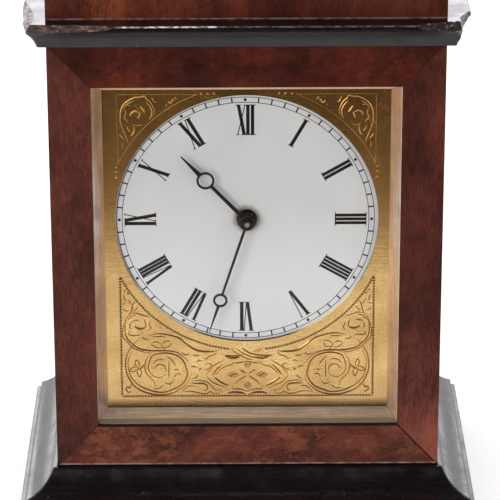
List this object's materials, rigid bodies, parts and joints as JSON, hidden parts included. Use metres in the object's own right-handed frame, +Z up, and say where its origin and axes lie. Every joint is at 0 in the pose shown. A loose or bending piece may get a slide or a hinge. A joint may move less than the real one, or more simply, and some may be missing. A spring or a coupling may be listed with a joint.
{
  "type": "desk clock",
  "caption": "Box-shaped wooden desk timepiece with splayed slip, gilt mask, round enamel dial, moon hands, back-wound lever movement and glazed back door.",
  "frame": {"origin": "centre of the underside of the base", "axes": "+Z up, dial faces -Y, +X to the right when looking at the dial"},
  "size_m": [0.136, 0.0962, 0.1748],
  "materials": {
    "burr_veneer": "satin figured burr veneer",
    "ebonised_wood": "polished black stain",
    "gilt": "matt fire gilding",
    "slip_brass": "dull polished",
    "brass": "polished",
    "steel": "polished",
    "dark_steel": "blued almost black",
    "enamel": "white vitreous enamel on copper",
    "clear_glass": "clear"
  },
  "bodies": {
    "case": {"base_board": "ebonised_wood", "base_moulding_front": "ebonised_wood", "base_moulding_left": "ebonised_wood", "base_moulding_right": "ebonised_wood", "side_board_left": "burr_veneer", "side_board_right": "burr_veneer", "front_rail_top": "burr_veneer", "front_rail_bottom": "burr_veneer", "front_stile_left": "burr_veneer", "front_stile_right": "burr_veneer", "cornice_board": "ebonised_wood", "cornice_front": "ebonised_wood", "cornice_left": "ebonised_wood", "cornice_right": "ebonised_wood", "upper_block": "burr_veneer", "bezel_slip_top": "slip_brass", "bezel_slip_bottom": "slip_brass", "bezel_slip_left": "slip_brass", "bezel_slip_right": "slip_brass", "front_glass": "clear_glass", "dial_mask": "gilt", "mask_screws": "steel", "enamel_dial": "enamel", "dial_posts": "brass", "front_plate": "brass", "back_plate": "brass", "plate_pillars": "brass", "pillar_screws": "steel", "click_spring": "steel", "platform_plate": "gilt", "lever_bridge": "gilt", "balance_cock": "gilt", "fixed_hinge_leaves": "brass"},
    "hands_arbor": {"centre_arbor": "steel", "centre_wheel": "brass", "cannon_pinion": "steel", "minute_hand": "dark_steel", "hand_collet": "brass"},
    "hour_work": {"hour_wheel": "brass", "hour_hand": "dark_steel"},
    "minute_work": {"minute_wheel": "brass"},
    "going_barrel": {"barrel": "brass", "barrel_cap": "brass", "mainspring": "steel"},
    "winding_arbor": {"barrel_arbor": "steel", "ratchet_wheel": "steel"},
    "click": {"click": "steel"},
    "third_train": {"third_arbor": "steel", "third_wheel": "brass"},
    "contrate_train": {"contrate_arbor": "steel", "contrate_wheel": "brass"},
    "escape_train": {"escape_wheel": "brass"},
    "lever": {"pallet_lever": "steel"},
    "balance": {"balance_wheel": "brass", "hairspring": "dark_steel"},
    "index": {"regulator_index": "steel"},
    "door": {"door_frame": "burr_veneer", "door_glass": "clear_glass", "door_hinge_leaves": "brass"},
    "catch": {"door_catch": "brass"}
  },
  "joints": [
    {"name": "hands_turn", "type": "hinge", "parent": "case", "child": "hands_arbor", "pos_m": [0, -0.0257, 0.0932], "axis": [0, 1, 0], "continuous": true},
    {"name": "hour_hand_turn", "type": "hinge", "parent": "case", "child": "hour_work", "pos_m": [0, -0.0257, 0.0932], "axis": [0, 1, 0], "continuous": true},
    {"name": "minute_wheel_turn", "type": "hinge", "parent": "case", "child": "minute_work", "pos_m": [-0.0096, -0.014, 0.0932], "axis": [0, 1, 0], "continuous": true},
    {"name": "barrel_turn", "type": "hinge", "parent": "case", "child": "going_barrel", "pos_m": [0, -0.0115, 0.07205], "axis": [0, 1, 0], "continuous": true},
    {"name": "third_wheel_turn", "type": "hinge", "parent": "case", "child": "third_train", "pos_m": [0.01005, -0.0115, 0.10351], "axis": [0, 1, 0], "continuous": true},
    {"name": "contrate_turn", "type": "hinge", "parent": "case", "child": "contrate_train", "pos_m": [0, -0.0115, 0.1105], "axis": [0, 1, 0], "continuous": true},
    {"name": "escape_turn", "type": "hinge", "parent": "case", "child": "escape_train", "pos_m": [0, 0.0074, 0.126], "axis": [0, 0, 1], "continuous": true},
    {"name": "winding", "type": "hinge", "parent": "case", "child": "winding_arbor", "pos_m": [0, 0.021, 0.07205], "axis": [0, 1, 0], "continuous": true},
    {"name": "click_lift", "type": "hinge", "parent": "case", "child": "click", "pos_m": [-0.00958, 0.021, 0.08008], "axis": [0, 1, 0], "range_deg": [-8, 3.4]},
    {"name": "lever_rock", "type": "hinge", "parent": "case", "child": "lever", "pos_m": [0, 0.0028, 0.1276], "axis": [0, 0, 1], "range_deg": [-8, 8]},
    {"name": "balance_swing", "type": "hinge", "parent": "case", "child": "balance", "pos_m": [0, -0.0031, 0.131], "axis": [0, 0, 1], "range_deg": [-215, 35]},
    {"name": "index_turn", "type": "hinge", "parent": "case", "child": "index", "pos_m": [0, -0.0031, 0.1351], "axis": [0, 0, 1], "range_deg": [-25, 25]},
    {"name": "door_hinge", "type": "hinge", "parent": "case", "child": "door", "pos_m": [-0.05, 0.0461, 0.017], "axis": [0, 0, 1], "range_deg": [0, 115]},
    {"name": "catch_turn", "type": "hinge", "parent": "door", "child": "catch", "pos_m": [0.0442, 0.045, 0.0832], "axis": [0, 1, 0], "range_deg": [0, 90]}
  ],
  "couplings": [
    {"joint": "hour_hand_turn", "follows": "hands_turn", "ratio": 0.083333},
    {"joint": "minute_wheel_turn", "follows": "hands_turn", "ratio": -0.33333},
    {"joint": "barrel_turn", "follows": "hands_turn", "ratio": -0.125},
    {"joint": "third_wheel_turn", "follows": "hands_turn", "ratio": -8},
    {"joint": "contrate_turn", "follows": "hands_turn", "ratio": 60},
    {"joint": "escape_turn", "follows": "hands_turn", "ratio": 600}
  ]
}
